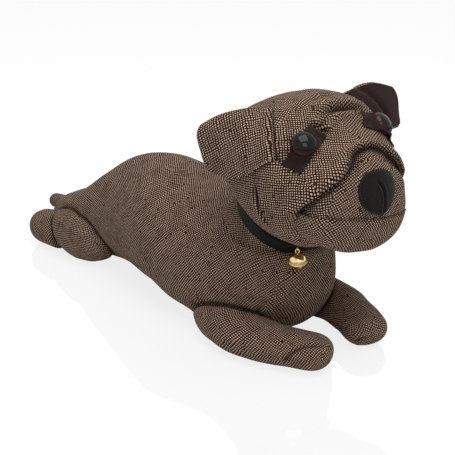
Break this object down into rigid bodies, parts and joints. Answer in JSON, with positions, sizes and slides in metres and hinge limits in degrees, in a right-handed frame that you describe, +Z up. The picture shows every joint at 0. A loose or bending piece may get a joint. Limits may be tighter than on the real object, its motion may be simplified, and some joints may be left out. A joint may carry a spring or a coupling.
{
  "type": "weighted fabric door stop",
  "caption": "Door stop in the form of a lying plush dog in brown and cream tweed, with a flat base, an inner ballast bag and a jingle bell on its collar.",
  "frame": {"origin": "on the floor, in the flat contact face of the base panel under the torso", "axes": "+X towards the dog's nose, +Y to the dog's left, +Z up"},
  "size_m": [0.398, 0.1651, 0.1864],
  "materials": {
    "tweed": "woven wool tweed in dark brown and cream, matt",
    "base_cloth": "dark plain woven cloth, matt",
    "dark_cloth": "dark red-brown suede-like cloth",
    "felt": "black felt",
    "ribbon": "black woven ribbon",
    "eye_plastic": "polished very dark brown plastic",
    "washer_plastic": "white moulded plastic",
    "wadding": "white fibre wadding",
    "ballast_cloth": "plain cotton bag filled with sand",
    "brass": "bright brass plate"
  },
  "bodies": {
    "dog": {"torso_cover": "tweed", "base_panel": "base_cloth", "torso_filling": "wadding", "ballast_bag": "ballast_cloth", "head": "tweed", "muzzle": "tweed", "chin": "tweed", "nose": "felt", "eye_right": "eye_plastic", "eye_washer_right": "washer_plastic", "eye_patch_right": "dark_cloth", "front_leg_right": "tweed", "thigh_right": "tweed", "foot_right": "tweed", "eye_left": "eye_plastic", "eye_washer_left": "washer_plastic", "eye_patch_left": "dark_cloth", "front_leg_left": "tweed", "thigh_left": "tweed", "foot_left": "tweed", "ear_right": "tweed", "ear_lining_right": "dark_cloth", "ear_left": "tweed", "ear_lining_left": "dark_cloth", "tail": "tweed", "collar": "ribbon", "collar_loop": "brass"},
    "bell": {"bell_cap": "brass", "bell_cup": "brass", "bell_ball": "brass"}
  },
  "joints": [
    {"name": "bell_swing", "type": "hinge", "parent": "dog", "child": "bell", "pos_m": [0.14693, -0.02002, 0.07826], "axis": [-0.5387, -0.8425, 0], "range_deg": [0, 70]}
  ]
}
